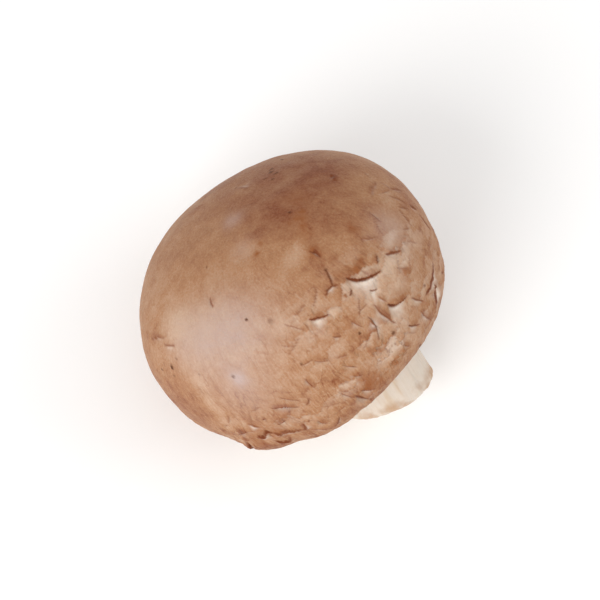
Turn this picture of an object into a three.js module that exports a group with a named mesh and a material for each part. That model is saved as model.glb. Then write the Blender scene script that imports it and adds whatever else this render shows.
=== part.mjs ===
// A brown button mushroom, picked and trimmed, lying on its side on a flat surface.
// The frame is in millimetres with +Z up. The surface is Z = 0, and the origin is the middle of the
// mushroom's outline on it. The stem points along +X and down, and the cap's crown along -X and up.
//
// Each piece is turned on the mushroom's own axis (local z, crown up, z = 0 at the cap's widest
// level), then shaped by the same growth, and the whole is laid down until cap and stem both touch.

import * as THREE from "three";
import { mergeVertices } from "three/addons/utils/BufferGeometryUtils.js";

// Driving dimensions
const CAP_DIAMETER = 45;
const STEM_DIAMETER = 14.6;
const STEM_END_DEPTH = 23.8; // from the cap's widest level down to the trimmed end
const GAP = 0.3; // between pieces that touch

// Cap, worked out from its radius
const CAP_RADIUS = CAP_DIAMETER / 2;
const DOME_HEIGHT = 0.725 * CAP_RADIUS;
const DOME_FULLNESS = 2.12; // 2 is an ellipse, more is squarer
const FLANK_DEPTH = 0.565 * CAP_RADIUS;
const MARGIN_RADIUS = 0.72 * CAP_RADIUS; // where the rolled margin reaches lowest
const MARGIN_ROLL = 1.7; // radius of the rolled-in margin
const MARGIN_LIP = 1.1; // how far the margin's inner wall rises from the roll
const GILL_PLANE = -FLANK_DEPTH + 5.2; // flat underside of the cap's flesh

// Veil, the skin that still closes the cap's underside
const VEIL_THICKNESS = 1.0;
const VEIL_OUTER = MARGIN_RADIUS - MARGIN_ROLL - GAP;
const VEIL_SAG = 0.9; // how far it dishes in between margin and stem

// Stem
const STEM_RADIUS = STEM_DIAMETER / 2;
const STEM_TOP = GILL_PLANE - GAP;
const STEM_WAIST = 0.95; // share of the radius just under the veil
const WAIST_LEVEL = 0.7; // share of the stem's height over which it narrows to the waist
const STEM_EDGE = 0.9; // radius of the trimmed end's worn edge
const STEM_ROOT_SHIFT = 3.4; // the stem stands a little off the cap's centre
const STEM_END_SHIFT = 2.3;
const SHIFT_FADES_FROM = STEM_RADIUS + 1.2;
const CUT_SLANT = THREE.MathUtils.degToRad(14); // the knife's cut across the stem

// Growth: the cap is a little oval, and flattest on the side that it lies on
const OVAL = 0.012;
const LOBE = 0.007;
const LOBE_TURN = 0.15;
const SHOULDER = 0.026; // the cap is fuller above and below its widest level on one side
const SHOULDER_TURN = THREE.MathUtils.degToRad(-95);
const WAIST_OF_SHOULDER = 0.4; // and as much of that less full at the widest level itself
const RESTING_FLAT = 0.25; // how far the soft flesh gives where it bears on the surface

// Fineness: facets round the axis, and steps along each stretch of an outline
const CAP_SEGMENTS = 64;
const STEM_SEGMENTS = 40;
const DOME_STEPS = 17;
const FLANK_STEPS = 10;
const ROLL_STEPS = 4;
const VEIL_STEPS = 6;
const SIDE_STEPS = 8;
const EDGE_STEPS = 3;
const TIP_HALVINGS = 40; // enough to find the resting tip to the last digit that matters

const skinMaterial = new THREE.MeshStandardMaterial({ color: 0xb08468, roughness: 0.6, metalness: 0 });
const stemMaterial = new THREE.MeshStandardMaterial({ color: 0xe2d5c3, roughness: 0.75, metalness: 0 });
const veilMaterial = new THREE.MeshStandardMaterial({ color: 0xe9dccb, roughness: 0.85, metalness: 0 });

// A quarter of a superellipse from (rOuter, 0) to (rInner, rise), as points for a lathe.
function quarter(rInner, rOuter, rise, fullness, steps) {
  return Array.from({ length: steps + 1 }, (_, i) => {
    const t = (i / steps) * (Math.PI / 2);
    const across = Math.cos(t) ** (2 / fullness);
    const along = Math.sin(t) ** (2 / fullness);
    return new THREE.Vector2(rInner + (rOuter - rInner) * across, rise * along);
  });
}

// An arc from one angle to another, as points for a lathe.
function arc(centreR, centreZ, radius, from, to, steps) {
  return Array.from({ length: steps + 1 }, (_, i) => {
    const a = THREE.MathUtils.degToRad(from + ((to - from) * i) / steps);
    return new THREE.Vector2(centreR + radius * Math.cos(a), centreZ + radius * Math.sin(a));
  });
}

// The outline turned about local z. The outline runs upwards on its outer side.
function turned(outline, segments) {
  return new THREE.LatheGeometry(outline, segments).rotateX(Math.PI / 2);
}

// Moves every vertex of a geometry by a rule.
function reshape(geometry, rule) {
  const places = geometry.getAttribute("position");
  const p = new THREE.Vector3();
  for (let i = 0; i < places.count; i++) {
    rule(p.fromBufferAttribute(places, i));
    places.setXYZ(i, p.x, p.y, p.z);
  }
  return geometry;
}

// The cap isn't a true round: it is narrowest towards -X and +X, one of which lies down.
function growOval(p) {
  const turn = Math.atan2(p.y, p.x);
  const share = 1 - OVAL * Math.cos(2 * turn) + LOBE * Math.cos(3 * (turn - LOBE_TURN));
  p.x *= share;
  p.y *= share;
}

// The cap's blunt side: a little less at its widest, more on the shoulders above and below that.
// The underside inside the rolled margin stays as it is.
function growCap(p) {
  const r = Math.hypot(p.x, p.y);
  const side = Math.max(Math.cos(Math.atan2(p.y, p.x) - SHOULDER_TURN), 0) ** 2;
  const height = p.z > 0 ? DOME_HEIGHT : FLANK_DEPTH;
  const level = Math.atan2(Math.abs(p.z) / height, r / CAP_RADIUS);
  const shape = Math.sin(2 * level) ** 2 - WAIST_OF_SHOULDER * Math.cos(level) ** 8;
  const outside = p.z > 0 ? 1 : THREE.MathUtils.smoothstep(r, MARGIN_RADIUS - MARGIN_ROLL, MARGIN_RADIUS);
  growOval(p);
  p.multiplyScalar(1 + SHOULDER * side * shape * outside);
}

// A level's share of the way down the stem: 0 at its top, 1 at its trimmed end.
function downStem(z) {
  return THREE.MathUtils.clamp((STEM_TOP - z) / (STEM_TOP + STEM_END_DEPTH), 0, 1);
}

// How far the stem's middle stands off the cap's axis at a level, towards +Y.
function stemShift(z) {
  return STEM_ROOT_SHIFT + (STEM_END_SHIFT - STEM_ROOT_SHIFT) * downStem(z) ** 2;
}

// The veil follows the stem at its inner edge and the margin at its outer one.
function followStem(p) {
  const r = Math.hypot(p.x, p.y);
  const hold = 1 - THREE.MathUtils.smoothstep(r, SHIFT_FADES_FROM, VEIL_OUTER - 1);
  growOval(p);
  p.y += stemShift(p.z) * hold;
}

// The stem leans, and its end is cut a little askew.
function growStem(p) {
  p.z -= p.y * Math.tan(CUT_SLANT) * downStem(p.z) ** 3;
  p.y += stemShift(p.z);
}

function capPiece() {
  const dome = quarter(0, CAP_RADIUS, DOME_HEIGHT, DOME_FULLNESS, DOME_STEPS);
  const flank = quarter(MARGIN_RADIUS, CAP_RADIUS, -FLANK_DEPTH, 2, FLANK_STEPS);
  const roll = arc(MARGIN_RADIUS, -FLANK_DEPTH + MARGIN_ROLL, MARGIN_ROLL, 180, 270, ROLL_STEPS);
  const lipTop = new THREE.Vector2(MARGIN_RADIUS - MARGIN_ROLL, GILL_PLANE);
  const middle = new THREE.Vector2(0, GILL_PLANE);
  const crown = dome.at(-1).setX(0);
  const outline = [middle, lipTop, ...roll, ...flank.slice(0, -1).reverse(), ...dome.slice(1, -1), crown];
  return new THREE.Mesh(reshape(turned(outline, CAP_SEGMENTS), growCap), skinMaterial);
}

function veilPiece() {
  const inner = STEM_RADIUS * STEM_WAIST + GAP;
  const low = -FLANK_DEPTH + MARGIN_ROLL + MARGIN_LIP;
  const under = Array.from({ length: VEIL_STEPS + 1 }, (_, i) => {
    const across = i / VEIL_STEPS;
    const sag = VEIL_SAG * Math.sin(Math.PI * across);
    return new THREE.Vector2(inner + (VEIL_OUTER - inner) * across, low + sag);
  });
  const over = under.map((p) => new THREE.Vector2(p.x, p.y + VEIL_THICKNESS)).reverse();
  const outline = [...under, ...over, under[0].clone()];
  return new THREE.Mesh(reshape(turned(outline, CAP_SEGMENTS), followStem), veilMaterial);
}

function stemPiece() {
  const foot = -STEM_END_DEPTH + STEM_EDGE;
  const edge = arc(STEM_RADIUS - STEM_EDGE, foot, STEM_EDGE, 270, 360, EDGE_STEPS);
  const side = Array.from({ length: SIDE_STEPS }, (_, i) => {
    const up = (i + 1) / SIDE_STEPS;
    const narrowing = 1 + (STEM_WAIST - 1) * THREE.MathUtils.smoothstep(up, 0, WAIST_LEVEL);
    return new THREE.Vector2(STEM_RADIUS * narrowing, foot + (STEM_TOP - foot) * up);
  });
  const endMiddle = new THREE.Vector2(0, -STEM_END_DEPTH);
  const topMiddle = new THREE.Vector2(0, STEM_TOP);
  const outline = [endMiddle, ...edge, ...side, topMiddle];
  return new THREE.Mesh(reshape(turned(outline, STEM_SEGMENTS), growStem), stemMaterial);
}

const pieces = { cap: capPiece(), veil: veilPiece(), stem: stemPiece() };

// Lowest point of a piece when the mushroom is tipped over by an angle about Y.
function lowest(piece, tip) {
  const box = new THREE.Box3();
  box.setFromBufferAttribute(piece.geometry.clone().rotateY(tip).getAttribute("position"));
  return box.min.z;
}

// Tipping from upright towards -X: the cap comes down and the stem goes up, until both are level.
function restingTip() {
  let upright = 0;
  let over = -Math.PI / 2;
  for (let i = 0; i < TIP_HALVINGS; i++) {
    const tip = (upright + over) / 2;
    if (lowest(pieces.stem, tip) < lowest(pieces.cap, tip)) upright = tip;
    else over = tip;
  }
  return (upright + over) / 2;
}

// Lays the pieces down and sets them on the surface. Where they bear on it the flesh is pressed flat.
function layDown() {
  const tip = restingTip();
  const box = new THREE.Box3();
  for (const piece of Object.values(pieces)) {
    piece.geometry.rotateY(tip);
    box.expandByObject(piece);
  }
  const middle = box.getCenter(new THREE.Vector3());
  for (const piece of Object.values(pieces)) {
    piece.geometry.translate(-middle.x, -middle.y, -box.min.z - RESTING_FLAT);
    reshape(piece.geometry, (p) => p.setZ(Math.max(p.z, 0)));
  }
}

layDown();

const mushroom = new THREE.Group();
for (const [name, piece] of Object.entries(pieces)) {
  piece.name = name;
  piece.geometry = mergeVertices(piece.geometry.deleteAttribute("normal").deleteAttribute("uv"));
  piece.geometry.computeVertexNormals();
  mushroom.add(piece);
}

export default mushroom;
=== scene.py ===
"""A brown button mushroom lying on its side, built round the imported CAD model.

Sizes are in metres in the CAD model's frame. Each piece is first worked out upright on the mushroom's
own axis (crown up, 0 at the cap's widest level) and then laid down where the CAD model lies. A place on
the cap's skin is a bearing round the axis and a reach, the way over the skin from the crown.
"""

import math

import bpy
import numpy as np
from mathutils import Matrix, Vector, noise


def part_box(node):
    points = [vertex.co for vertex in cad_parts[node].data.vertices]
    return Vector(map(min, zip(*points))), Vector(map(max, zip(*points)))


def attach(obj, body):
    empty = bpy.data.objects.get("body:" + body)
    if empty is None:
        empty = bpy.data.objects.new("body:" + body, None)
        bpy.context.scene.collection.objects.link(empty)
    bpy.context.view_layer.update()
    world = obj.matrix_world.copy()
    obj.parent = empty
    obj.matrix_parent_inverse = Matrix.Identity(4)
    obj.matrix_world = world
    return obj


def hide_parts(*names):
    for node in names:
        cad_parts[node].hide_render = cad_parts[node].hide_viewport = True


bl_info = {
    "name": "Button Mushroom",
    "version": (1, 0, 0),
    "blender": (4, 5, 0),
    "location": "3D View > Sidebar > Mushroom",
    "description": "Builds a brown button mushroom with a torn, scaly cap, a veil and a trimmed stem",
    "category": "Add Mesh",
}

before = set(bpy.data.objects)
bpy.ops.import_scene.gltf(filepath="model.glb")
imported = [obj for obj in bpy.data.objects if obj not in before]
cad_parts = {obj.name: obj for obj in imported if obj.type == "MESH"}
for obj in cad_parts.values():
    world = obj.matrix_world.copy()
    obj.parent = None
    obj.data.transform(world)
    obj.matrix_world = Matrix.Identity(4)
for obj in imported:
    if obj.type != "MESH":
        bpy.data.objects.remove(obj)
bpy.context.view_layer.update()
MM = 0.001

# How the mushroom lies: its axis leans this far from upright, with the crown towards -X.
LEAN = math.radians(46.57)

# Growth, the same as in the CAD model
DOME_FULLNESS = 2.12
OVAL = 0.012
LOBE = 0.007
LOBE_TURN = 0.15
SHOULDER = 0.026
SHOULDER_TURN = math.radians(-95)
WAIST_OF_SHOULDER = 0.4
STEM_OFF_AXIS = 3.4 * MM
STEM_DRAWN_BACK = 1.1 * MM


def linear(code):
    """An sRGB hex colour as linear red, green, blue and alpha."""
    shares = [int(code[i : i + 2], 16) / 255 for i in (0, 2, 4)]
    return [s / 12.92 if s <= 0.04045 else ((s + 0.055) / 1.055) ** 2.4 for s in shares] + [1.0]


def quantity(name, description, default, **settings):
    return bpy.props.FloatProperty(name=name, description=description, default=default, **settings)


def length(name, description, default):
    return quantity(name, description, default, min=0, precision=5, unit="LENGTH", subtype="DISTANCE")


def angle(name, description, degrees):
    return quantity(name, description, math.radians(degrees), subtype="ANGLE")


def colour(name, description, code):
    return bpy.props.FloatVectorProperty(
        name=name, description=description, default=linear(code), size=4, min=0, max=1, subtype="COLOR"
    )


class CapSettings(bpy.types.PropertyGroup):
    """Sizes and colours of the cap."""

    radius: length("Radius", "Of the cap at its widest level", 22.5 * MM)
    dome_height: length("Dome height", "Of the crown over the widest level", 16.31 * MM)
    flank_depth: length("Flank depth", "Of the margin under the widest level", 12.71 * MM)
    margin_radius: length("Margin radius", "Where the margin reaches lowest", 16.2 * MM)
    margin_roll: length("Margin roll", "Radius of the rolled-in margin", 1.7 * MM)
    underside: length("Underside", "Height of the flesh behind the veil over the margin", 5.2 * MM)
    lumps: length("Lumps", "Height of the broad unevenness of the dome", 0.14 * MM)
    scale_height: length("Scale height", "How far the scales' free edges stand up", 0.22 * MM)
    pale_skin: colour("Pale skin", "Where the skin is thinnest", "bd9c82")
    skin: colour("Skin", "The most of the skin", "a67957")
    brown_skin: colour("Brown skin", "Where the skin is thick", "844e33")
    dark_skin: colour("Dark skin", "Bruises and curled edges", "62331c")
    flesh: colour("Flesh", "Bared where the skin has torn", "e4d6c8")
    # Painted shade: this colour is dark brown painted in the bottoms of tears and under the scales' lips,
    # where shade falls.
    painted_crevice_shade: colour("Crevice", "Dried brown at the bottom of a tear", "733a1d")
    painted_sheen: colour("Bloom", "Pale pinkish bloom on the smooth skin", "b7a098")
    # Painted sheen: this colour is a pale pinkish highlight painted on the smooth skin, where light glances
    # off it.
    rust: colour("Rust", "Small stains where the skin was rubbed", "8d5128")
    soil: colour("Soil", "Specks of growing soil on the skin", "552b10")


class VeilSettings(bpy.types.PropertyGroup):
    """Sizes and colours of the veil."""

    thickness: length("Thickness", "Of the veil", 1.0 * MM)
    sag: length("Dish", "How far it dishes in between margin and stem", 0.9 * MM)
    gill_pitch: length("Gill pitch", "Spacing of the gills that show through, at the margin", 0.85 * MM)
    membrane: colour("Membrane", "The veil's cottony skin", "e6d8c6")
    stained: colour("Stained membrane", "Where it has browned at the margin", "b98d69")


class StemSettings(bpy.types.PropertyGroup):
    """Sizes and colours of the stem."""

    radius: length("Radius", "Of the stem at its trimmed end", 7.3 * MM)
    depth: length("Depth", "Of the trimmed end under the cap's widest level", 23.8 * MM)
    edge: length("Edge", "Radius of the trimmed end's worn edge", 0.9 * MM)
    flesh: colour("Stem flesh", "The stem's pale rind", "d6cabd")
    streak: colour("Streak", "Tan fibres along the rind", "c3a076")
    bruise: colour("Bruise", "The trimmed end's browned edge", "a9794a")


class StudioSettings(bpy.types.PropertyGroup):
    """The floor, the lights and the camera."""

    azimuth: angle("Azimuth", "Of the camera, from the front round to the right", 40.5)
    elevation: angle("Elevation", "Of the camera over the floor", 68.2)
    distance: length("Distance", "From the camera to the mushroom", 0.45)
    view_width: length("View width", "What the camera takes in at that distance", 85.7 * MM)
    floor: colour("Floor", "The plain board that the mushroom lies on", "fcfbfa")
    key_power: quantity("Key power", "Of the main light", 2.1, unit="POWER")
    fill_power: quantity("Fill power", "Of the soft side light", 1.1, unit="POWER")
    sky: quantity("Sky", "Strength of the even light all round", 0.74, min=0, max=2, subtype="FACTOR")


# ---------------- numbers over arrays


def rise(x, low, high):
    """0 below low, 1 above high, and smooth between."""
    t = np.clip((x - low) / (high - low), 0, 1)
    return t * t * (3 - 2 * t)


def bell(x, middle, spread):
    """1 at the middle, falling off smoothly on both sides."""
    return np.exp(-(((x - middle) / spread) ** 2))


def turn_from(turn, middle):
    """The signed angle from a bearing, the short way round."""
    return (turn - middle + math.pi) % (2 * math.pi) - math.pi


def waves(points, size, octaves=3):
    """Smooth noise of about -1 to 1 at each point, with waves of a size."""
    flat = points.reshape(-1, 3) / size
    values = [noise.fractal(Vector(p), 1.0, 2.0, octaves) for p in flat]
    return np.array(values).reshape(points.shape[:-1])


def plates(points, size):
    """For irregular plates of a size: how near each point is to its plate's edge, and the plate's middle."""
    flat = points.reshape(-1, 3) / size
    found = [noise.voronoi(Vector(p)) for p in flat]
    near = np.array([distances[1] - distances[0] for distances, _ in found])
    middles = np.array([places[0] for _, places in found]) * size
    return near.reshape(points.shape[:-1]), middles.reshape(points.shape)


def spaced(count, weight):
    """Count + 1 shares from 0 to 1, crowded where a weight over 0 to 1 is high."""
    fine = np.linspace(0, 1, 4001)
    total = np.concatenate([[0], np.cumsum(weight((fine[1:] + fine[:-1]) / 2))])
    return np.interp(np.linspace(0, 1, count + 1), total / total[-1], fine)


def unit(vectors):
    return vectors / np.linalg.norm(vectors, axis=-1, keepdims=True)


# ---------------- the mushroom's shape


def grow_oval(points):
    """The cap isn't a true round."""
    turn = np.arctan2(points[..., 1], points[..., 0])
    stretch = 1 - OVAL * np.cos(2 * turn) + LOBE * np.cos(3 * (turn - LOBE_TURN))
    return points * np.stack([stretch, stretch, np.ones_like(stretch)], -1)


def grow_cap(points, cap):
    """Oval, and fuller above and below its widest level on its blunt side."""
    r = np.hypot(points[..., 0], points[..., 1])
    z = points[..., 2]
    side = np.maximum(np.cos(np.arctan2(points[..., 1], points[..., 0]) - SHOULDER_TURN), 0) ** 2
    level = np.arctan2(np.abs(z) / np.where(z > 0, cap.dome_height, cap.flank_depth), r / cap.radius)
    shape = np.sin(2 * level) ** 2 - WAIST_OF_SHOULDER * np.cos(level) ** 8
    outside = np.where(z > 0, 1, rise(r, cap.margin_radius - cap.margin_roll, cap.margin_radius))
    return grow_oval(points) * (1 + SHOULDER * side * shape * outside)[..., None]


def cap_outline(cap):
    """Radius, height and reach of points down the cap's outline, over the margin and up its inner wall."""
    t = np.linspace(0, math.pi / 2, 400)
    power = 2 / DOME_FULLNESS
    dome = np.stack([cap.radius * np.sin(t) ** power, cap.dome_height * np.cos(t) ** power])
    flank = np.stack(
        [cap.margin_radius + (cap.radius - cap.margin_radius) * np.cos(t), -cap.flank_depth * np.sin(t)]
    )
    roll = np.stack(
        [
            cap.margin_radius - cap.margin_roll * np.sin(t),
            cap.margin_roll * (1 - np.cos(t)) - cap.flank_depth,
        ]
    )
    wall_top = [[cap.margin_radius - cap.margin_roll], [cap.underside - cap.flank_depth]]
    points = np.concatenate([dome, flank[:, 1:], roll[:, 1:], wall_top], 1)
    reach = np.concatenate([[0], np.cumsum(np.hypot(*np.diff(points)))])
    return points[0], points[1], reach


def on_skin(cap, turn, reach):
    """The places on the smooth, upright cap at bearings and reaches."""
    radii, heights, reaches = cap_outline(cap)
    r = np.interp(reach, reaches, radii)
    z = np.interp(reach, reaches, heights)
    turn, r, z = np.broadcast_arrays(turn, r, z)
    return grow_cap(np.stack([r * np.cos(turn), r * np.sin(turn), z], -1), cap)


def skin_frame(cap, turn, reach):
    """Places on the smooth cap, and the directions straight out of it."""
    step = 0.05 * MM
    places = on_skin(cap, turn, reach)
    onward = unit(on_skin(cap, turn, reach + step) - on_skin(cap, turn, reach - step))
    swing = step / np.maximum(np.hypot(places[..., 0], places[..., 1]), step)
    round_it = unit(on_skin(cap, turn + swing, reach) - on_skin(cap, turn - swing, reach))
    return places, unit(np.cross(onward, round_it))


def away_from(bearing, far, cap, places):
    """How far places lie from the smooth skin at a bearing in degrees and a reach in mm."""
    return np.linalg.norm(places - on_skin(cap, math.radians(bearing), far * MM), axis=-1)


def soft_spots(spots, cap, places):
    """The sum of soft round spots: each a bearing in degrees, a reach and a spread in mm, and how much."""
    total = np.zeros(places.shape[:-1])
    for bearing, far, spread, amount in spots:
        total += amount * bell(away_from(bearing, far, cap, places), 0, spread * MM)
    return total


def leant(points):
    """Upright points turned over to the angle that the mushroom lies at, not yet set down."""
    c, s = math.cos(LEAN), math.sin(LEAN)
    x, y, z = points[..., 0], points[..., 1], points[..., 2]
    return np.stack([x * c - z * s, y, x * s + z * c], -1)


def seat(cap):
    """Where the mushroom's own origin lies, from the box of the CAD model's cap."""
    low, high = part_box("cap")
    smooth = leant(on_skin(cap, np.linspace(0, 2 * math.pi, 256), np.linspace(0, 46 * MM, 200)[:, None]))
    lowest, highest = smooth.reshape(-1, 3).min(0), smooth.reshape(-1, 3).max(0)
    return np.array(
        [
            low.x - lowest[0],
            (low.y + high.y - lowest[1] - highest[1]) / 2,
            high.z - highest[2],
        ]
    )


def laid_down(points, cap):
    """Upright points laid down in the frame. The flesh is pressed flat where it bears on the floor."""
    placed = leant(points) + seat(cap)
    placed[..., 2] = np.maximum(placed[..., 2], 0)
    return placed


def stem_shift(z, stem, cap):
    """How far the stem's middle stands off the cap's axis at a level, towards +Y."""
    return STEM_OFF_AXIS - STEM_DRAWN_BACK * stem_share(z, stem, cap) ** 2


def stem_top(cap):
    """The level of the flesh behind the veil, where the stem starts."""
    return cap.underside - cap.flank_depth


def stem_share(z, stem, cap):
    """A level's share of the way down the stem."""
    return np.clip((stem_top(cap) - z) / (stem_top(cap) + stem.depth), 0, 1)


# ---------------- meshes


def ring_mesh(name, rings, first=None, last=None, closed=False):
    """A mesh over an array of rings of points, ending in a single point, open, or closed on itself."""
    count, around = rings.shape[:2]
    vertices = rings.reshape(-1, 3).tolist()
    number = np.arange(count * around).reshape(count, around)
    here = np.concatenate([number, number[:1]]) if closed else number
    beside = np.roll(here, -1, axis=1)
    quads = np.stack([here[:-1], here[1:], beside[1:], beside[:-1]], -1).reshape(-1, 4)
    faces = quads.tolist()
    for point, ring, flip in ((first, number[0], False), (last, number[-1], True)):
        if point is not None:
            vertices.append(list(point))
            middle = len(vertices) - 1
            pairs = zip(ring.tolist(), np.roll(ring, -1).tolist())
            faces += [(middle, b, a) if flip else (middle, a, b) for a, b in pairs]
    mesh = bpy.data.meshes.new(name)
    mesh.from_pydata(vertices, [], faces)
    mesh.polygons.foreach_set("use_smooth", [True] * len(faces))
    mesh.update()
    piece = bpy.data.objects.new(name, mesh)
    bpy.context.collection.objects.link(piece)
    return piece


def paint(piece, name, values):
    """Keeps a number or a vector for each vertex, for the piece's material to read.

    A piece's two end points take what their rings have.
    """
    kind, field = ("FLOAT_VECTOR", "vector") if values.ndim == 3 else ("FLOAT", "value")
    flat = values.reshape(values.shape[0] * values.shape[1], -1)
    if len(piece.data.vertices) > len(flat):
        flat = np.concatenate([flat, flat[:1], flat[-1:]])
    layer = piece.data.attributes.new(name, kind, "POINT")
    layer.data.foreach_set(field, flat.astype(np.float32).ravel())


# ---------------- tears and scales of the cap


class Tear:
    """A tear in the skin along points (bearing in degrees, reach in mm), with its sizes in mm.

    The lip on the left of the line, as seen from outside, curls up and over. On the right the skin dips,
    by a depth that is a share of the gape, and rises back with its flesh bared. With a negative depth it
    steps up there instead.
    """

    def __init__(self, path, gape, flesh, lip=0.0, ragged=0.08, depth=0.75):
        self.path = path
        self.gape = gape * MM
        self.flesh = flesh * MM
        self.lip = lip * MM
        self.ragged = ragged * MM
        self.depth = depth * self.gape

    def measure(self, cap, places, out):
        """How places lie to the tear.

        Gives their distance from its line, positive on the right, its strength there, and the direction
        towards its right.
        """
        bearings = np.radians([b for b, _ in self.path])
        reaches = np.array([r for _, r in self.path]) * MM
        fine = np.linspace(0, len(self.path) - 1, 4 * len(self.path))
        steps = np.arange(len(self.path))
        line = on_skin(cap, np.interp(fine, steps, bearings), np.interp(fine, steps, reaches))
        best = np.full(places.shape[:-1], np.inf)
        side = np.zeros_like(best)
        along = np.zeros_like(best)
        way = np.zeros_like(places)
        for i, (a, b) in enumerate(zip(line[:-1], line[1:])):
            share_of = np.clip((places - a) @ (b - a) / ((b - a) @ (b - a)), 0, 1)
            off = places - (a + share_of[..., None] * (b - a))
            gap = np.linalg.norm(off, axis=-1)
            nearer = gap < best
            best = np.where(nearer, gap, best)
            beyond = unit(np.cross(b - a, out))
            side = np.where(nearer, np.sign((off * beyond).sum(-1)), side)
            way = np.where(nearer[..., None], beyond, way)
            along = np.where(nearer, (i + share_of) / (len(line) - 1), along)
        strength = np.sin(math.pi * np.clip(along, 0.02, 0.98)) ** 0.7
        return best * side, strength, way


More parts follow.
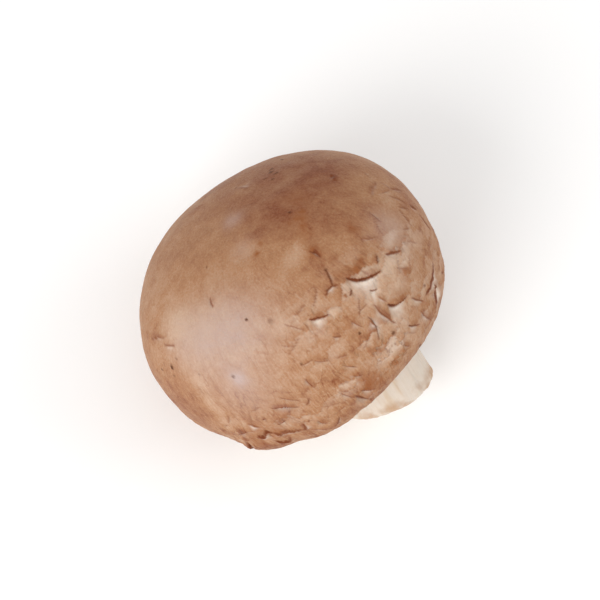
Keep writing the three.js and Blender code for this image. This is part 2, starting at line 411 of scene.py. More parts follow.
# The tears that show most: first on the scaly patch, the flanks and the crown, then on the margin's front.
# Each has its points (bearing in degrees, reach in mm), then its gape, flesh and lip in mm. Some go on with
# their raggedness in mm and their depth as a share of the gape.
TEAR_TABLE = (
    ([(2, 24.4), (5, 25.8), (10.2, 27), (13.5, 27.7)], 0.5, 3.2, 0.45),
    ([(7, 31.6), (10.2, 32.6), (15.4, 33.5)], 0.7, 2.8, 0.5),
    ([(5.2, 28.2), (7.8, 29)], 0.25, 2.4, 0.2),
    ([(14.4, 26.8), (15.2, 26.2), (17.2, 25.9)], 0.35, 0.6, 0.25),
    ([(20, 27), (22.5, 27.5), (25.8, 28.8)], 0.3, 0.7, 0.2),
    ([(-4, 23.8), (-2.8, 22.9), (-1, 21.7)], 0.25, 0.4, 0.1),
    ([(-8.8, 24.4), (-6.5, 23.8), (-4, 23.8), (-1.6, 24.5)], 0.28, 0.9, 0.15),
    ([(-1.9, 26.6), (0.2, 26.1)], 0.3, 0.5, 0.15),
    ([(-19, 25.3), (-16, 25.6), (-12, 26.5)], 0.4, 2.2, 0.3),
    ([(2.6, 30), (3.5, 32.3), (5.4, 35)], 0.2, 0.9, 0.2),
    ([(-4.2, 34.6), (-2, 32.6), (-2, 30.7)], 0.2, 1, 0.2),
    ([(6, 29.7), (7.2, 31.3)], 0.12, 0.8, 0.1),
    ([(9.3, 36.9), (14.6, 38.9)], 0.32, 1, 0.2),
    ([(17, 34.4), (21.2, 36.8)], 0.2, 0.8, 0.15),
    ([(17.6, 37.3), (19, 38.8), (22.4, 41.2)], 0.12, 0.8, 0.2),
    ([(23.5, 36.7), (32.5, 36.4), (38.6, 35.5)], 0.55, 1.1, 0.03, 0.08, 0.15),
    ([(27.3, 41), (29, 39.2), (31.8, 37.4)], 0.9, 2.8, 0.03, 0.08, 0.1),
    ([(42, 22), (46.5, 22), (49.5, 21.7)], 0.09, 0.3, 0.06),
    ([(46.5, 22), (54.8, 22.7)], 0.07, 0.3, 0.06),
    ([(52.4, 25.2), (54.3, 24.2), (55, 23.2)], 0.1, 0.3, 0.06),
    ([(47, 23.4), (52.2, 24.7)], 0.09, 0.3, 0.06),
    ([(53.2, 24.7), (57.8, 27.1)], 0.1, 0.3, 0.06),
    ([(47.6, 24.6), (49.8, 26.4), (49, 27.7)], 0.1, 0.3, 0.06),
    ([(44.6, 26.2), (47.4, 28)], 0.1, 0.3, 0.06),
    ([(51.2, 28.2), (54.2, 30.2)], 0.25, 0.5, 0.06, 0.08, 0.4),
    ([(43.4, 26.4), (42, 27.7), (40.5, 29.3)], 0.09, 0.3, 0.06),
    ([(53, 30.6), (53.2, 32.3), (52.6, 33.9)], 0.25, 0.5, 0.05, 0.08, 0.4),
    ([(56, 22), (59.8, 20.8)], 0.08, 0.3, 0.05),
    ([(85, 4.7), (119, 4.9)], 0.14, 0.5, 0.05),
    ([(0.7, 18.5), (3.5, 18.8), (2, 20.2)], 0.28, 0.5, 0.1),
    ([(-1.9, 31.3), (-1.4, 33)], 0.2, 0.9, 0.1),
    ([(-16, 29.3), (-13.6, 30)], 0.22, 0.6, 0.15),
    ([(-7.5, 29.2), (-5.6, 31.2)], 0.12, 0.6, 0.1),
    ([(-54.6, 15.4), (-53.7, 16.8)], 0.22, 0.2, 0.1),
    ([(56.6, 16.2), (48.5, 16.9)], 0.18, 0.2, 0.1),
    ([(-86, 20.8), (-78.6, 20.8)], 0.2, 0.7, 0.12),
    ([(-97, 20.7), (-91, 19.9), (-85, 19.9)], 0.15, 0.4, 0.1),
    ([(-22.8, 39.3), (-20.5, 41.5), (-18.2, 43.1)], 0.5, 0.7, 0.12),
    ([(-26.4, 37.4), (-23.6, 39.6)], 0.22, 0.6, 0.2),
    ([(-20, 39.3), (-15.4, 41.2)], 0.25, 0.8, 0.2),
    ([(-18.8, 36.4), (-15.8, 37.2)], 0.18, 0.5, 0.15),
    ([(-19.2, 34), (-15.8, 35.5)], 0.15, 0.5, 0.12),
    ([(-33, 32.1), (-32.7, 33.7)], 0.2, 0.5, 0.15),
    ([(-50.6, 33.8), (-46.5, 34.3), (-42, 35.6)], 0.4, 0.7, 0.3, 0.12),
    ([(-45, 32.8), (-40.2, 34.6)], 0.15, 0.3, 0.1),
    ([(-56.8, 35), (-55.4, 35.2)], 0.35, 0.4, 0.15),
    ([(-64, 35.2), (-62, 35.8), (-60.3, 36.4)], 0.12, 1.0, 0, 0.15, -1.4),
    ([(-66, 38.6), (-64.5, 38), (-62.3, 38.2), (-60, 37.4), (-58, 38.4)], 0.36, 0.9, 0, 0.22, -1.2),
    ([(-58, 38.2), (-56.6, 39), (-54, 38.6), (-51, 39.3), (-47, 40.1)], 0.24, 0.8, 0, 0.22, -1.4),
    ([(-61.5, 40.2), (-59.5, 40.9), (-57, 41.3), (-55, 40.4)], 0.4, 0.5, 0, 0.18, -0.8),
    ([(-53.8, 37.1), (-49.8, 36.8)], 0.22, 0.7, 0.2, 0.15),
    ([(-47.4, 40.2), (-46.6, 39.6), (-45.8, 38.8)], 0.3, 0.7, 0, 0.08, -0.8),
    ([(-40.4, 39.5), (-38.2, 41)], 0.3, 0.6, 0.25, 0.15),
    ([(-79.5, 36), (-77.8, 36.4)], 0.35, 0.3, 0.2),
    ([(-76.2, 41.3), (-73, 39)], 0.3, 0.5, 0.25, 0.15),
)
TEARS = [Tear(*row) for row in TEAR_TABLE]

# Small random tears: how many, and between which bearings in degrees, reaches in mm and gapes in mm
MARGIN_TEARS = (46, (48, 250), (30, 42.5), (0.08, 0.26))
PATCH_HAIRLINES = (44, (-34, 44), (23, 41), (0.04, 0.12))
FRONT_HAIRLINES = (36, (-80, -34), (33, 42), (0.05, 0.18))
TEAR_SEED = 11

# In mm: how far apart small tears stay, what a degree of bearing comes to there, and how far from a tear's
# middle the skin is worked over for it
MARGIN_GAP = 2.2
HAIRLINE_GAP = 1.3
DEGREE_ROUND = 0.35
TEAR_RANGE = 8


def scattered_tears(random, count, bearings, reaches, gapes):
    """Small tears at random places between two bearings and two reaches."""
    tears = []
    for _ in range(count):
        bearing = random.uniform(*bearings)
        reach = random.uniform(*reaches)
        span = random.uniform(2, 7)
        tilt = random.uniform(-1.2, 1.2)
        gape = random.uniform(*gapes)
        path = [(bearing, reach - tilt), (bearing + span / 2, reach + gape), (bearing + span, reach + tilt)]
        tears.append(Tear(path, gape=gape, flesh=random.uniform(2, 4) * gape, lip=0.6 * gape, ragged=0.15))
    return tears


def stands_clear(tear, others, gap):
    """Whether a tear's middle keeps a gap in mm from the points of others."""
    bearing, reach = tear.path[1]
    taken = [place for other in others for place in other.path]
    return all(math.hypot(DEGREE_ROUND * (bearing - b), reach - r) > gap for b, r in taken)


def all_tears(random):
    """The tears that show most, the rest round the margin, and hairlines in the patch and on the front."""
    margin = scattered_tears(random, *MARGIN_TEARS)
    patch = scattered_tears(random, *PATCH_HAIRLINES)
    front = scattered_tears(random, *FRONT_HAIRLINES)
    tears = list(TEARS)
    for tear in margin:
        if stands_clear(tear, tears, MARGIN_GAP):
            tears.append(tear)
    return tears + [tear for tear in (*patch, *front) if stands_clear(tear, TEARS, HAIRLINE_GAP)]


# Specks of soil and small bruises: bearing in degrees, reach and radius in mm, and how dark
SPECKS = (
    (-39.8, 20.6, 0.28, 1),
    (-31.3, 22.4, 0.5, 0.35),
    (-55.2, 26.9, 0.35, 0.6),
    (-69.2, 25.4, 0.25, 0.4),
    (-82.8, 24, 0.45, 1),
    (-88, 23.8, 0.25, 0.5),
    (-91, 24.8, 0.3, 0.8),
    (-83.5, 25.4, 0.3, 0.5),
    (-78.8, 22.7, 0.25, 0.5),
    (87.5, 9, 0.5, 1),
    (93, 9.6, 0.35, 1),
    (79.5, 9.2, 0.35, 0.9),
    (71.2, 8.1, 0.3, 0.8),
    (80.8, 7.6, 0.3, 0.7),
    (100.8, 12.9, 0.45, 0.9),
    (119.3, 4.9, 0.3, 0.6),
    (17.5, 12, 0.28, 0.9),
    (-58, 10.4, 0.25, 0.7),
    (-1, 21.8, 0.35, 0.6),
    (-8, 31.6, 0.28, 0.9),
    (2.2, 35.6, 0.4, 0.8),
    (-30.8, 29.8, 0.22, 0.7),
    (3, 38.3, 0.25, 0.5),
    (26, 35.6, 0.3, 0.6),
    (-17, 34.9, 0.2, 0.6),
    (12, 43, 0.45, 0.8),
)

# Rusty spots on the crown's flank: bearing in degrees, reach and radius in mm, and strength
RUSTY_SPOTS = (
    (14.3, 13.6, 0.7, 0.6),
    (17, 14.4, 0.7, 0.5),
    (9, 13.1, 0.4, 0.6),
    (20.5, 13.8, 0.5, 0.5),
    (11.5, 15, 0.6, 0.4),
    (-19, 12.9, 0.4, 0.9),
    (-12.8, 11.8, 0.4, 0.7),
    (21.5, 21.3, 0.8, 0.5),
    (2.5, 18.9, 0.9, 0.7),
    (-68, 39.8, 1.2, 0.5),
    (-56, 38.4, 1.2, 0.5),
    (-62, 37, 1.2, 0.4),
    (-48, 36, 1.5, 0.3),
    (-16, 39.5, 1.8, 0.5),
    (52, 28, 1.3, 0.4),
    (31, 12, 2, 0.35),
    (8, 15.9, 1.2, 0.3),
)

# Broad patches of the skin: bearing in degrees, reach and spread in mm, and how much darker
PATCHES = (
    (40, 12, 8, 0.7),
    (90, 12, 9, 0.5),
    (140, 9, 6, 0.25),
    (0, 10, 3.5, 0.3),
    (0, 0, 8, 0.22),
    (56, 20, 6, 0.25),
    (58, 33, 7, 0.35),
    (2, 21, 3.5, 0.35),
    (20, 22, 4, 0.25),
    (-60, 21, 7, -0.6),
    (-35, 23, 6, -0.25),
    (12, 30, 4, -0.4),
    (18, 30, 3.5, -0.4),
    (-90, 33, 9, 0.55),
    (-78, 29, 5, 0.1),
    (-80, 20, 4, -0.3),
    (-77, 18, 2.5, -0.6),
    (-4.2, 17.3, 1.5, -0.6),
    (-5.5, 13.9, 1.3, -0.25),
    (95, 4, 1.2, -0.6),
    (12.5, 22, 1.6, -0.4),
    (9.8, 20.3, 1.2, -0.25),
    (49, 24, 3, -0.35),
    (-70.5, 26.8, 1.9, -0.5),
    (-71.8, 29.5, 1.8, -0.5),
    (-73, 32.3, 1.7, -0.5),
    (-73.5, 35, 1.5, -0.5),
    (-60, 38, 7, 0.05),
    (-35, 38, 6, 0.1),
)

# Patches of painted sheen, a pale pinkish highlight painted on the skin: bearing in degrees, reach and
# spread in mm, and strength
PAINTED_SHEENS = (
    (-48, 20.5, 4.5, 0.45),
    (-67, 21, 4.5, 0.4),
    (-55, 29, 5, 0.3),
    (-35, 22, 5, 0.15),
    (-53.8, 27.5, 1.3, 0.6),
    (31, 26, 3, 0.35),
    (-16, 4, 1.5, 0.35),
    (-25, 10.6, 1.8, 0.18),
)

# Where the cap has grown fuller or flatter: bearing in degrees, reach and spread in mm, and height in mm
SWELLINGS = (
    (-156, 15.5, 6, 0.3),
    (178, 13.5, 10, 0.45),
    (-118, 24, 6, -0.42),
    (-91, 40.5, 5.2, -0.9),
    (-40, 44, 5, 0.75),
    (-15, 44.5, 4, 0.25),
)

# The skin's mesh, and the rings that close it behind the veil, as shares of the inner wall's radius
COLUMNS = 560
ROWS = 172
COVER_RINGS = (0.8, 0.55, 0.3, 0.1)

# The scales' length down the cap, and how much narrower their chart is made so that they come out wider
SCALE_SIZE = 2.6 * MM
SCALE_SQUEEZE = 0.62

FOLD_HEIGHT = 0.1 * MM
BULGE_HEIGHT = 0.4 * MM
SPECK_HEIGHT = 0.08 * MM
# How much darker the skin is painted towards the margin: painted shade along the cap's edge
MARGIN_SHADE = 0.35


def cap_grid(cap):
    """Bearings round the skin and reaches down it, crowded where the skin is torn."""
    end = cap_outline(cap)[2][-1]

    def round_the_tears(at):
        return 1 + 2.4 * bell(turn_from(at * 2 * math.pi, math.radians(-15)), 0, math.radians(55))

    def down_the_tears(at):
        return 1.2 + bell(at * end, 33 * MM, 10 * MM)

    turn = spaced(COLUMNS, round_the_tears)[:-1] * 2 * math.pi
    reach = spaced(ROWS, down_the_tears)[1:] * end
    return turn[None], reach[:, None]


def grain_of(turn, radius, onward):
    """Coordinates for fibres that run down a turned piece: round it at a radius, and onward."""
    turn, onward = np.broadcast_arrays(turn, onward)
    return np.stack([radius * np.cos(turn), radius * np.sin(turn), onward], -1)


def add_tear(tear, cap, places, out, height, shift, marks):
    """Lets one tear into the skin: its relief, its lip's curl, and the marks for the material."""
    middle = tear.path[len(tear.path) // 2]
    near = np.nonzero(away_from(*middle, cap, places) < TEAR_RANGE * MM)
    here, facing = places[near], out[near]
    across, strength, way = tear.measure(cap, here, facing)
    across = across + tear.ragged * waves(here, 1.1 * MM, 3)
    gape = tear.gape * strength + 0.02 * MM
    spread = tear.flesh * strength * (1 + 0.5 * waves(here, 1.6 * MM, 2)) + 0.1 * MM
    lip = tear.lip * strength * np.exp(np.minimum(across, 0) / (0.8 * MM)) * (1 - rise(across, 0, 0.12 * MM))
    valley = tear.depth * strength * rise(across, 0, 0.15 * MM) * (1 - rise(across, gape, gape + spread))
    height[near] += lip - valley
    curl = 0.7 * tear.lip * strength * bell(np.minimum(across, 0), 0, 0.3 * MM)
    shift[near] += (curl * (1 - rise(across, 0, 0.1 * MM)))[..., None] * way
    # Painted shade: dark brown painted down the tear's bottom and wall, where its lip and wall shade it
    painted_tear_shade = rise(across, -0.16 * MM, -0.02 * MM) * (1 - rise(across, 0.7 * gape, 1.2 * gape + 0.15 * MM))
    painted_tear_shade = painted_tear_shade * rise(strength, 0, 0.35) * min(1, 0.3 + tear.gape / (0.5 * MM))
    fade = np.exp(-np.maximum(across - 1.2 * gape, 0) / (0.45 * spread))
    bared = fade * rise(across, 0.7 * gape, 1.5 * gape) * strength**2 * min(1, tear.flesh / (1.5 * MM))
    edge = bell(across, -0.22 * MM, 0.35 * MM) * strength * min(1, 0.3 + tear.lip / (0.4 * MM))
    for name, values in (("painted_crevice_shade", painted_tear_shade), ("flesh", bared), ("edge", edge)):
        marks[name][near] = np.maximum(marks[name][near], values)


def scaly_share(turn, reach, places):
    """How much the skin has broken into scales: most in one patch, some all round the margin.

    The patch starts further down on one side than on the other.
    """
    off = turn_from(turn, math.radians(8))
    start = 20 * MM + 7 * MM * np.maximum(off, 0)
    patch = bell(off, 0, math.radians(38)) * rise(reach, start, start + 6 * MM)
    patch *= 1 - rise(reach, 38 * MM, 43 * MM)
    margin = rise(reach, 31 * MM, 39 * MM) * (1 - rise(reach, 43 * MM, 45.5 * MM))
    return np.clip(patch + 0.5 * margin, 0, 1) * np.clip(0.75 + 0.9 * waves(places, 5 * MM, 2), 0, 1)


def front_bulge(turn, reach):
    """How much the torn front of the margin stands out, suddenly at one end."""
    degrees = np.degrees(turn_from(turn, 0))
    along = rise(degrees, -78.5, -76.5) * (1 - rise(degrees, -74, -58))
    return along * rise(reach, 38.5 * MM, 40.5 * MM) * (1 - rise(reach, 45 * MM, 48 * MM))


def fibrous_share(turn, reach, places):
    """How much the skin shows its fibres: little on the crown, more down the flank and on the front."""
    front = bell(turn_from(turn, math.radians(-50)), 0, math.radians(50)) * rise(reach, 16 * MM, 32 * MM)
    flank = 0.35 * rise(reach, 8 * MM, 24 * MM) + 0.25 * rise(reach, 30 * MM, 40 * MM)
    return np.clip(0.1 + flank + 0.7 * front, 0, 1.2) * (1 + 0.6 * waves(places, 6 * MM, 2))


def add_scales(cap, turn, reach, places, height, marks):
    """Shingled scales: each is pale where it comes out from under the last, and brown at its raised edge.

    They are drawn out round the cap, and the scaliest skin is blotched with rust.
    """
    scaly = scaly_share(turn, reach, places)
    drift = [waves(places + offset, 1.5 * MM, 3) for offset in (0, 50 * MM, 90 * MM)]
    wander = 0.9 * MM * np.stack(drift, -1)
    chart = grain_of(turn, cap.radius, reach) * [SCALE_SQUEEZE, SCALE_SQUEEZE, 1] + wander
    near_edge, middles = plates(chart, SCALE_SIZE)
    onto = np.clip((chart - middles)[..., 2] / SCALE_SIZE + 0.5, 0, 1)
    loose = scaly * rise(waves(middles, 1.7 * MM, 1), -0.25, 0.4)
    crumple = np.abs(waves(chart + 20 * MM, 1.7 * MM, 3))
    height += cap.scale_height * (1.3 * loose * onto**2 + 0.5 * scaly * (onto - 0.5) - 1.1 * scaly * crumple)
    # Painted shade under each loose scale's lip, where the scale before it overhangs
    painted_shade_under_lip = (1 - rise(near_edge, 0, 0.13)) * (1 - rise(onto, 0.25, 0.5))
    marks["tone"] += scaly * (0.75 * onto**2 - 0.45) - 0.4 * loose * (1 - onto)
    marks["rust"] += scaly**2 * np.clip(waves(chart + 70 * MM, 2.4 * MM, 3) + 0.25 * onto - 0.1, 0, 1)
    marks["flesh"] = np.maximum(marks["flesh"], 0.25 * loose * (1 - rise(onto, 0.1, 0.8)))
    marks["painted_crevice_shade"] = np.maximum(marks["painted_crevice_shade"], 0.6 * loose * painted_shade_under_lip)
    marks["scaly"] = scaly


def cap_skin(cap):
    """The cap's finished rings of places, still upright, and the marks that its material reads."""
    turn, reach = cap_grid(cap)
    places, out = skin_frame(cap, turn, reach)
    names = ("tone", "flesh", "painted_crevice_shade", "edge", "soil", "rust", "painted_sheen")
    marks = {name: np.zeros(places.shape[:-1]) for name in names}
    height = cap.lumps * waves(places, 11 * MM) + 0.3 * cap.lumps * waves(places, 3 * MM)
    height += MM * soft_spots(SWELLINGS, cap, places)
    shift = np.zeros_like(places)
    folds = waves(grain_of(turn, cap.radius, 0.35 * reach), 2.2 * MM, 3)
    height += FOLD_HEIGHT * folds * rise(reach, 34 * MM, 41 * MM) * (1 - rise(reach, 47 * MM, 48.5 * MM))
    add_scales(cap, turn, reach, places, height, marks)
    height += BULGE_HEIGHT * front_bulge(turn, reach)
    for tear in all_tears(np.random.default_rng(TEAR_SEED)):
        add_tear(tear, cap, places, out, height, shift, marks)
    for bearing, far, radius, dark in SPECKS:
        away = away_from(bearing, far, cap, places)
        spot = 1 - rise(away, 0.5 * radius * MM, radius * MM)
        marks["soil"] = np.maximum(marks["soil"], dark * spot)
        height += SPECK_HEIGHT * dark * spot
    ragged = 0.3 * MM * waves(places, 0.9 * MM, 2)
    for bearing, far, radius, strength in RUSTY_SPOTS:
        away = away_from(bearing, far, cap, places)
        marks["rust"] += strength * bell(away + ragged, 0, radius * MM)
    marks["tone"] += soft_spots(PATCHES, cap, places)
    marks["tone"] += 0.25 * waves(places, 6 * MM) + 0.15 * waves(places, 2 * MM)
    # Painted shade: the skin is darker towards the margin's edge
    marks["tone"] += MARGIN_SHADE * rise(reach, 38 * MM, 43 * MM)
    # Painted sheen: a pale pinkish highlight painted on the skin in patches
    marks["painted_sheen"] += soft_spots(PAINTED_SHEENS, cap, places)
    marks["fibrous"] = fibrous_share(turn, reach, places)
    inner = rise(reach + 0.8 * MM * waves(places, 2 * MM), 45.6 * MM, 46.8 * MM)
    marks["flesh"] = np.maximum(marks["flesh"], inner)
    marks["grain"] = grain_of(turn, cap.radius, reach)
    settle = 1 - rise(reach, 48 * MM, 48.9 * MM)
    return places + (out * height[..., None] + shift) * settle[..., None], marks


def build_cap(cap):
    """The cap: one closed skin from the crown over the margin to the flesh behind the veil."""
    rings, marks = cap_skin(cap)
    turn = cap_grid(cap)[0]
    level = stem_top(cap)
    inner = (cap.margin_radius - cap.margin_roll) * np.array(COVER_RINGS)[:, None]
    levels = np.full((len(COVER_RINGS), COLUMNS), level)
    flat = np.stack([inner * np.cos(turn), inner * np.sin(turn), levels], -1)
    rings = np.concatenate([rings, grow_oval(flat)])
    ends = np.array([[0, 0, rings[0, :, 2].mean()], [0, 0, level]])
    rings, ends = laid_down(rings, cap), laid_down(ends, cap)
    piece = ring_mesh("mushroom_cap", rings, first=ends[0], last=ends[1])
    for name, values in marks.items():
        paint(piece, name, np.concatenate([values, np.repeat(values[-1:], len(COVER_RINGS), axis=0)]))
    return piece


# ---------------- the veil and the stem


# How far over the margin's roll the veil joins the inner wall, and where across it its grain is true to size
VEIL_LIP = 1.1 * MM
VEIL_GRAIN_RADIUS = 14 * MM
VEIL_COLUMNS = 640
VEIL_ROWS = 34
VEIL_BACK_STEP = 6


def build_veil(veil, cap, stem):
    """The veil: a dished membrane from the margin's inner wall to the stem.

    The gills behind it show through as ridges. Its back is smooth and has fewer rows.
    """
    turn = np.linspace(0, 2 * math.pi, VEIL_COLUMNS, endpoint=False)[None]
    inner = 0.94 * stem.radius
    outer = cap.margin_radius - cap.margin_roll + 0.1 * MM
    across = np.linspace(1, 0, VEIL_ROWS)[:, None]
    r = inner + (outer - inner) * across
    low = cap.margin_roll + VEIL_LIP - cap.flank_depth
    z = low + veil.sag * np.sin(math.pi * across)
    z = z - 0.9 * MM * bell(outer - r, 0, 0.8 * MM) - 1.1 * MM * bell(r - inner, 0, 0.9 * MM)
    r, z, turns = np.broadcast_arrays(r, z, turn)
    flat = np.stack([r * np.cos(turns), r * np.sin(turns), z], -1)
    gills = round(2 * math.pi * outer / veil.gill_pitch)
    crowded = gills * (turns + 0.02 * waves(flat, 4 * MM, 2))
    between = rise(r, inner + 1 * MM, inner + 3 * MM)
    ridges = 0.09 * MM * np.cos(crowded) * between
    cotton = 0.3 * MM * waves(flat, 3 * MM) + 0.12 * MM * waves(flat, 0.9 * MM)
    threads = 0.3 * MM * waves(grain_of(turns, VEIL_GRAIN_RADIUS, 0.2 * r), 0.8 * MM, 2)
    threads = threads * bell(outer - r, 0, 1.4 * MM)
    under = flat + np.stack([np.zeros_like(r), np.zeros_like(r), ridges + cotton + threads], -1)
    over = flat[::-VEIL_BACK_STEP] + [0, 0, veil.thickness]
    rings = grow_oval(np.concatenate([under, over]))
    radius = np.hypot(rings[..., 0], rings[..., 1])
    hold = 1 - rise(radius, stem.radius + 1.2 * MM, outer - 1.4 * MM)
    rings[..., 1] += stem_shift(rings[..., 2], stem, cap) * hold
    piece = ring_mesh("mushroom_veil", laid_down(rings, cap), closed=True)
    all_r = np.concatenate([r, r[::-VEIL_BACK_STEP]])
    all_turns = np.concatenate([turns, turns[::-VEIL_BACK_STEP]])
    stain = rise(all_r + 1.5 * MM * waves(rings, 3 * MM), outer - 2.2 * MM, outer)
    paint(piece, "stain", np.clip(stain + 0.4 * np.clip(waves(rings, 2.2 * MM), 0, 1), 0, 1))
    paint(piece, "grain", grain_of(all_turns, VEIL_GRAIN_RADIUS, all_r))
    return piece


STEM_COLUMNS = 300
STEM_WAIST = 0.95
CUT_SLANT = math.radians(14)


def stem_outline(stem, cap):
    """Radius and level down the stem's outline, from its hidden top to the middle of its trimmed end."""
    foot = stem.edge - stem.depth
    top = stem_top(cap)
    up = np.linspace(1, 0, 84)
    side = stem.radius * (1 + (STEM_WAIST - 1) * rise(up, 0, 0.7)), foot + (top - foot) * up
    a = np.linspace(0, math.pi / 2, 9)[1:]
    edge = stem.radius - stem.edge * (1 - np.cos(a)), foot - stem.edge * np.sin(a)
    out = np.linspace(1, 0, 32)[1:-1]
    face = (stem.radius - stem.edge) * out, np.full(out.shape, -stem.depth)
    cover = stem.radius * STEM_WAIST * np.array([0.2, 0.6]), np.full(2, top)
    return tuple(np.concatenate([part[i] for part in (cover, side, edge, face)]) for i in (0, 1))


def build_stem(stem, cap):
    """The stem: a fibrous stalk with a slanting trimmed end, bruised along its edge."""
    turn = np.linspace(0, 2 * math.pi, STEM_COLUMNS, endpoint=False)[None]
    r, z = (values[:, None] for values in stem_outline(stem, cap))
    r, z, turns = np.broadcast_arrays(r, z, turn)
    flat = np.stack([r * np.cos(turns), r * np.sin(turns), z], -1)
    grain = grain_of(turns, stem.radius, z)
    face = 1 - rise(z, -stem.depth, stem.edge * 0.8 - stem.depth)
    side = (1 - face) * (1 - rise(z, stem_top(cap) - 1 * MM, stem_top(cap)))
    fibres = waves(grain * [1, 1, 0.14], 1.3 * MM, 3)
    swell = side * (0.16 * MM * fibres + 0.22 * MM * waves(flat, 6 * MM, 2)) / np.maximum(r, 1 * MM)
    flat = flat * np.stack([1 + swell, 1 + swell, np.ones_like(swell)], -1)
    pith = 0.35 * MM * bell(r, 0, 2.6 * MM) - 0.2 * MM * bell(r, 0.8 * stem.radius, 0.9 * MM)
    flat[..., 2] += face * (pith + 0.16 * MM * waves(flat, 1.1 * MM) + 0.25 * MM * waves(flat, 4 * MM, 2))
    flat[..., 2] -= flat[..., 1] * math.tan(CUT_SLANT) * stem_share(flat[..., 2], stem, cap) ** 3
    flat[..., 1] += stem_shift(flat[..., 2], stem, cap)
    ends = np.array([flat[0].mean(0), flat[-1].mean(0)])
    piece = ring_mesh("mushroom_stem", laid_down(flat, cap), *laid_down(ends, cap))
    rim = bell(z, stem.edge * 0.7 - stem.depth, 1.3 * MM)
    rim = rim * rise(r, 0.7 * stem.radius, stem.radius - stem.edge)
    bruise = rim * np.clip(0.55 + 0.9 * waves(grain, 2.4 * MM), 0, 1)
    paint(piece, "bruise", np.clip(bruise + 0.3 * face * np.clip(waves(flat, 2 * MM), 0, 1), 0, 1))
    paint(piece, "streak", side * rise(fibres + 0.5 * waves(grain * [1, 1, 0.3], 4 * MM, 2), 0.1, 0.6))
    paint(piece, "cut", face)
    paint(piece, "grain", grain)
    return piece


# ---------------- materials


def fill_inputs(tree, node, inputs):
    """Gives a node's inputs their values, or links from other nodes' outputs."""
    for name, value in inputs.items():
        if isinstance(value, bpy.types.NodeSocket):
            tree.links.new(value, node.inputs[name])
        else:
            node.inputs[name].default_value = value


def add_node(tree, kind, inputs=None, **settings):
    """Adds a shader node with its settings, and fills its inputs."""
    node = tree.nodes.new("ShaderNode" + kind)
    for name, value in settings.items():
        setattr(node, name, value)
    fill_inputs(tree, node, inputs or {})
    return node


def new_material(name, *marks):
    """A new material, its tree, its surface's shader, and the marks that it reads off the mesh."""
    material = bpy.data.materials.new(name)
    material.use_nodes = True
    tree = material.node_tree
    surface = next(n for n in tree.nodes if n.type == "BSDF_PRINCIPLED")
    read = {mark: add_node(tree, "Attribute", attribute_name=mark).outputs["Fac"] for mark in marks}
    return material, tree, surface, read


def weighed(tree, start, *parts, use_clamp=False):
    """A sum: start, plus each part times its weight, either of which can be a number or an output."""
    total = start
    for part, weight in parts:
        inputs = {0: part, 1: weight, 2: total}
        total = add_node(tree, "Math", inputs, operation="MULTIPLY_ADD", use_clamp=use_clamp).outputs[0]
    return total


def layered(tree, base, *layers):
    """A colour with others laid over it, each by its own share."""
    for cover, tint in layers:
        limited = weighed(tree, 0.0, (cover, 1.0), use_clamp=True)
        mixed = add_node(tree, "Mix", {0: limited, 6: base, 7: tint}, data_type="RGBA")
        base = mixed.outputs[2]
    return base


def lines_of(tree, source, width):
    """1 along the lines where a noise passes through its middle value, 0 a little way off them."""
    off = weighed(tree, -0.5, (source, 1.0))
    off = add_node(tree, "Math", {0: off}, operation="ABSOLUTE").outputs[0]
    return weighed(tree, 1.0, (off, -1 / width), use_clamp=True)


def grown_pattern(tree, size, stretch=None, detail=3.0, distortion=0.0):
    """Noise from 0 to 1, about 0.5 on average: patches of a size, or fibres of that width if stretched.

    Fibres run along the grain that the mesh keeps, and are 1 / stretch times as long as they are wide.
    """
    if stretch is None:
        place = add_node(tree, "TexCoord").outputs["Object"]
    else:
        grain = add_node(tree, "Attribute", attribute_name="grain").outputs["Vector"]
        drawn = add_node(tree, "VectorMath", {0: grain, 1: (1, 1, stretch)}, operation="MULTIPLY")
        place = drawn.outputs[0]
    inputs = {
        "Vector": place,
        "Scale": 1 / size,
        "Detail": detail,
        "Roughness": 0.6,
        "Distortion": distortion,
    }
    return add_node(tree, "TexNoise", inputs).outputs["Fac"]


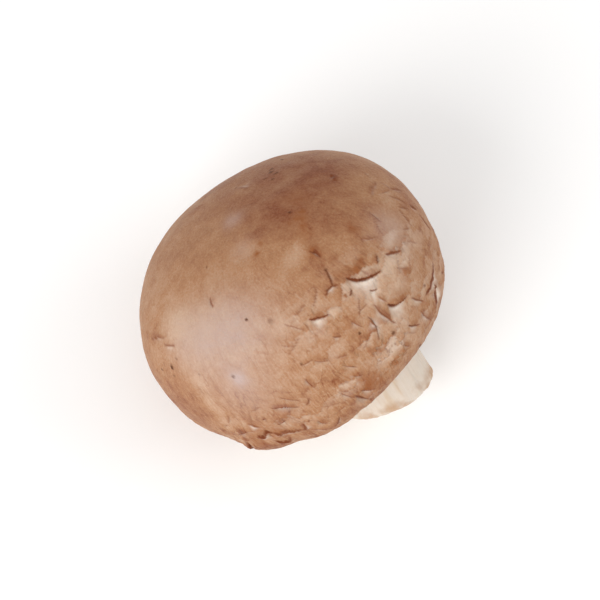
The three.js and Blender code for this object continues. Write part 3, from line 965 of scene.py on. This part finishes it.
def grown_skin(cap):
    """Mushroom skin, grown: dry, faintly fibrous and satin, with a little light passing under it.

    It is darkest where it is thick, palest where it has stretched, and torn down to cream flesh.
    """
    names = ("tone", "fibrous", "scaly", "edge", "painted_sheen", "rust", "flesh", "painted_crevice_shade", "soil")
    material, tree, surface, marks = new_material("grown_mushroom_skin", *names)
    fibres = grown_pattern(tree, 0.26 * MM, stretch=0.07)
    shreds = grown_pattern(tree, 1.0 * MM, stretch=0.4, detail=5.0, distortion=1.2)
    felt = grown_pattern(tree, 0.32 * MM, detail=4.0)
    mottle = grown_pattern(tree, 2.6 * MM, detail=6.0, distortion=0.6)
    folds = grown_pattern(tree, 2.4 * MM, stretch=0.4, detail=2.5, distortion=0.7)
    furrowed = weighed(tree, -1.2, (mottle, 2.2), (marks["fibrous"], 0.6))
    wrinkles = weighed(tree, 0.0, (lines_of(tree, folds, 0.03), furrowed), use_clamp=True)
    torn = weighed(tree, -1.2, (fibres, 0.9), (shreds, 1.5))
    tone = weighed(tree, -1.3, (marks["tone"], 1.0), (mottle, 1.2), (felt, 1.25))
    tone = weighed(tree, tone, (torn, marks["fibrous"]), (marks["edge"], 0.9), (wrinkles, 0.7))
    base = layered(
        tree,
        cap.pale_skin,
        (weighed(tree, 1.0, (tone, 1.0)), cap.skin),
        (tone, cap.brown_skin),
        (weighed(tree, -1.0, (tone, 1.0)), cap.dark_skin),
    )
    broken = weighed(tree, 0.4, (mottle, 1.4))
    base = layered(
        tree,
        base,
        # Painted sheen: a pale pinkish highlight painted over the skin, broken up by the mottle
        (weighed(tree, 0.0, (marks["painted_sheen"], broken)), cap.painted_sheen),
        (weighed(tree, 0.0, (marks["rust"], broken)), cap.rust),
        (weighed(tree, 0.0, (marks["flesh"], broken)), cap.flesh),
        # Painted shade in the bottoms of tears and under the scales' lips
        (marks["painted_crevice_shade"], cap.painted_crevice_shade),
        (marks["soil"], cap.soil),
    )
    ridges = weighed(tree, 0.0, (fibres, marks["fibrous"]))
    relief = weighed(tree, 0.0, (felt, 0.7), (ridges, 0.4), (wrinkles, -0.5))
    bump = add_node(tree, "Bump", {"Height": relief, "Distance": 0.12 * MM, "Strength": 0.8})
    inputs = {
        "Base Color": base,
        "Roughness": weighed(tree, 0.36, (felt, 0.25), (marks["scaly"], 0.15), (mottle, 0.1)),
        "Normal": bump.outputs[0],
        "IOR": 1.4,
        "Specular IOR Level": 0.22,
        "Subsurface Weight": 0.12,
        "Subsurface Radius": (1.0, 0.5, 0.3),
        "Subsurface Scale": 1.2 * MM,
    }
    fill_inputs(tree, surface, inputs)
    return material


# Pale mushroom flesh is mostly water, and light passes some way under it.
PALE_FLESH = {
    "IOR": 1.38,
    "Subsurface Weight": 0.2,
    "Subsurface Radius": (1.0, 0.7, 0.5),
    "Subsurface Scale": 1.5 * MM,
}


def cottony_membrane(veil):
    """Mushroom veil, a web of fine threads grown together: matt and cream, browned where it was rubbed."""
    material, tree, surface, marks = new_material("cottony_membrane", "stain")
    threads = grown_pattern(tree, 0.3 * MM, stretch=0.15)
    cotton = grown_pattern(tree, 0.6 * MM, detail=5.0)
    stained = weighed(tree, -0.35, (marks["stain"], 0.9), (threads, 0.35), (cotton, 0.35))
    relief = weighed(tree, 0.0, (threads, 0.7), (cotton, 0.5))
    bump = add_node(tree, "Bump", {"Height": relief, "Distance": 0.12 * MM, "Strength": 0.8})
    inputs = {
        "Base Color": layered(tree, veil.membrane, (stained, veil.stained)),
        "Roughness": weighed(tree, 0.6, (cotton, 0.4)),
        "Normal": bump.outputs[0],
    }
    fill_inputs(tree, surface, {**PALE_FLESH, **inputs})
    return material


def fibrous_stem(stem):
    """Mushroom stem, grown in long fibres and cut with a knife: a smooth pale rind, tan where it dried."""
    material, tree, surface, marks = new_material("fibrous_stem_flesh", "streak", "bruise", "cut")
    fibres = grown_pattern(tree, 0.35 * MM, stretch=0.06)
    grit = grown_pattern(tree, 0.5 * MM, detail=5.0)
    tan = weighed(tree, -0.25, (marks["streak"], 0.35), (fibres, 0.45), (grit, 0.2))
    brown = weighed(tree, -0.3, (marks["bruise"], 0.8), (grit, 0.4))
    relief = weighed(tree, 0.0, (fibres, 0.6), (grit, 0.5))
    bump = add_node(tree, "Bump", {"Height": relief, "Distance": 0.1 * MM, "Strength": 0.7})
    inputs = {
        "Base Color": layered(tree, stem.flesh, (tan, stem.streak), (brown, stem.bruise)),
        "Roughness": weighed(tree, 0.45, (grit, 0.3), (marks["cut"], 0.1)),
        "Normal": bump.outputs[0],
    }
    fill_inputs(tree, surface, {**PALE_FLESH, **inputs})
    return material


def painted_board(studio):
    """Studio board, rolled with matt emulsion: pale, even and without gloss."""
    material, tree, surface, _ = new_material("matt_painted_board")
    inputs = {"Base Color": studio.floor, "Roughness": 0.9, "Specular IOR Level": 0.2}
    fill_inputs(tree, surface, inputs)
    return material


# ---------------- studio


# The mushroom's middle, which the lights shine on, and how far off it the camera aims
MIDDLE = Vector((0, 0, 20 * MM))
AIM_RIGHT = 0.8 * MM
AIM_DOWN = 0.13 * MM

# Each light's direction as shares of the camera's backward, right and up, then its distance and size in m
KEY_LIGHT = ((1.0, -0.55, -0.5), 0.6, 0.35)
FILL_LIGHT = ((0.6, 0.9, 0.3), 0.7, 0.5)
FLOOR_SIZE = 4


def view_axes(studio):
    """The camera's right, up and backward directions in the frame."""
    turn, tilt = studio.azimuth, studio.elevation
    right = Vector((math.cos(turn), math.sin(turn), 0))
    back = Vector((math.sin(turn) * math.cos(tilt), -math.cos(turn) * math.cos(tilt), math.sin(tilt)))
    return right, back.cross(right), back


def add_camera(studio):
    """A camera that looks down on the mushroom."""
    right, up, back = view_axes(studio)
    aim = MIDDLE + right * AIM_RIGHT - up * AIM_DOWN
    camera = bpy.data.objects.new("camera", bpy.data.cameras.new("camera"))
    bpy.context.collection.objects.link(camera)
    camera.location = aim + back * studio.distance
    camera.rotation_euler = back.to_track_quat("Z", "Y").to_euler()
    camera.data.lens = camera.data.sensor_width * studio.distance / studio.view_width
    camera.data.clip_start = 10 * MM
    bpy.context.scene.camera = camera


def add_light(name, studio, place, power):
    """A square soft light that shines on the mushroom."""
    shares, distance, size = place
    right, up, back = view_axes(studio)
    toward = back * shares[0] + right * shares[1] + up * shares[2]
    light = bpy.data.lights.new(name, "AREA")
    light.energy = power
    light.size = size
    lamp = bpy.data.objects.new(name, light)
    bpy.context.collection.objects.link(lamp)
    lamp.location = MIDDLE + toward.normalized() * distance
    lamp.rotation_euler = toward.to_track_quat("Z", "Y").to_euler()


def add_sky(studio):
    """Even white light from all round."""
    world = bpy.data.worlds.new("studio")
    world.use_nodes = True
    background = next(n for n in world.node_tree.nodes if n.type == "BACKGROUND")
    background.inputs["Color"].default_value = (1, 1, 1, 1)
    background.inputs["Strength"].default_value = studio.sky
    bpy.context.scene.world = world


# ---------------- operators


def finish_piece(piece, node, material):
    """Gives a piece its material, hangs it on the frame's root body, and hides the CAD piece that it stands
    for.
    """
    piece.data.materials.append(material)
    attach(piece, "root")
    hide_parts(node)


class MUSHROOM_OT_cap(bpy.types.Operator):
    """Build the torn, scaly cap"""

    bl_idname = "mushroom.cap"
    bl_label = "Cap"

    def execute(self, context):
        cap = context.scene.mushroom_cap
        finish_piece(build_cap(cap), "cap", grown_skin(cap))
        return {"FINISHED"}


class MUSHROOM_OT_veil(bpy.types.Operator):
    """Build the veil under the cap"""

    bl_idname = "mushroom.veil"
    bl_label = "Veil"

    def execute(self, context):
        scene = context.scene
        veil = scene.mushroom_veil
        piece = build_veil(veil, scene.mushroom_cap, scene.mushroom_stem)
        finish_piece(piece, "veil", cottony_membrane(veil))
        return {"FINISHED"}


class MUSHROOM_OT_stem(bpy.types.Operator):
    """Build the trimmed stem"""

    bl_idname = "mushroom.stem"
    bl_label = "Stem"

    def execute(self, context):
        stem = context.scene.mushroom_stem
        finish_piece(build_stem(stem, context.scene.mushroom_cap), "stem", fibrous_stem(stem))
        return {"FINISHED"}


class MUSHROOM_OT_studio(bpy.types.Operator):
    """Build the floor, the lights and the camera"""

    bl_idname = "mushroom.studio"
    bl_label = "Studio"

    def execute(self, context):
        studio = context.scene.mushroom_studio
        bpy.ops.mesh.primitive_plane_add(size=FLOOR_SIZE)
        floor = context.object
        floor.name = "floor"
        floor.data.materials.append(painted_board(studio))
        add_light("key", studio, KEY_LIGHT, studio.key_power)
        add_light("fill", studio, FILL_LIGHT, studio.fill_power)
        add_sky(studio)
        add_camera(studio)
        context.scene.view_settings.view_transform = "Standard"
        return {"FINISHED"}


class MUSHROOM_PT_pieces(bpy.types.Panel):
    """Lists the pieces to build, with their sizes and colours"""

    bl_label = "Button Mushroom"
    bl_idname = "MUSHROOM_PT_pieces"
    bl_space_type = "VIEW_3D"
    bl_region_type = "UI"
    bl_category = "Mushroom"

    def draw(self, context):
        for name in PIECES:
            box = self.layout.box()
            box.operator("mushroom." + name)
            settings = getattr(context.scene, "mushroom_" + name)
            for prop in settings.__annotations__:
                box.prop(settings, prop)


PIECES = {"cap": CapSettings, "veil": VeilSettings, "stem": StemSettings, "studio": StudioSettings}
CLASSES = (
    *PIECES.values(),
    MUSHROOM_OT_cap,
    MUSHROOM_OT_veil,
    MUSHROOM_OT_stem,
    MUSHROOM_OT_studio,
    MUSHROOM_PT_pieces,
)


def register():
    for kind in CLASSES:
        bpy.utils.register_class(kind)
    for name, kind in PIECES.items():
        setattr(bpy.types.Scene, "mushroom_" + name, bpy.props.PointerProperty(type=kind))


def unregister():
    for name in PIECES:
        delattr(bpy.types.Scene, "mushroom_" + name)
    for kind in reversed(CLASSES):
        bpy.utils.unregister_class(kind)


def main():
    register()
    for name in PIECES:
        getattr(bpy.ops.mushroom, name)()


if __name__ == "__main__":
    main()
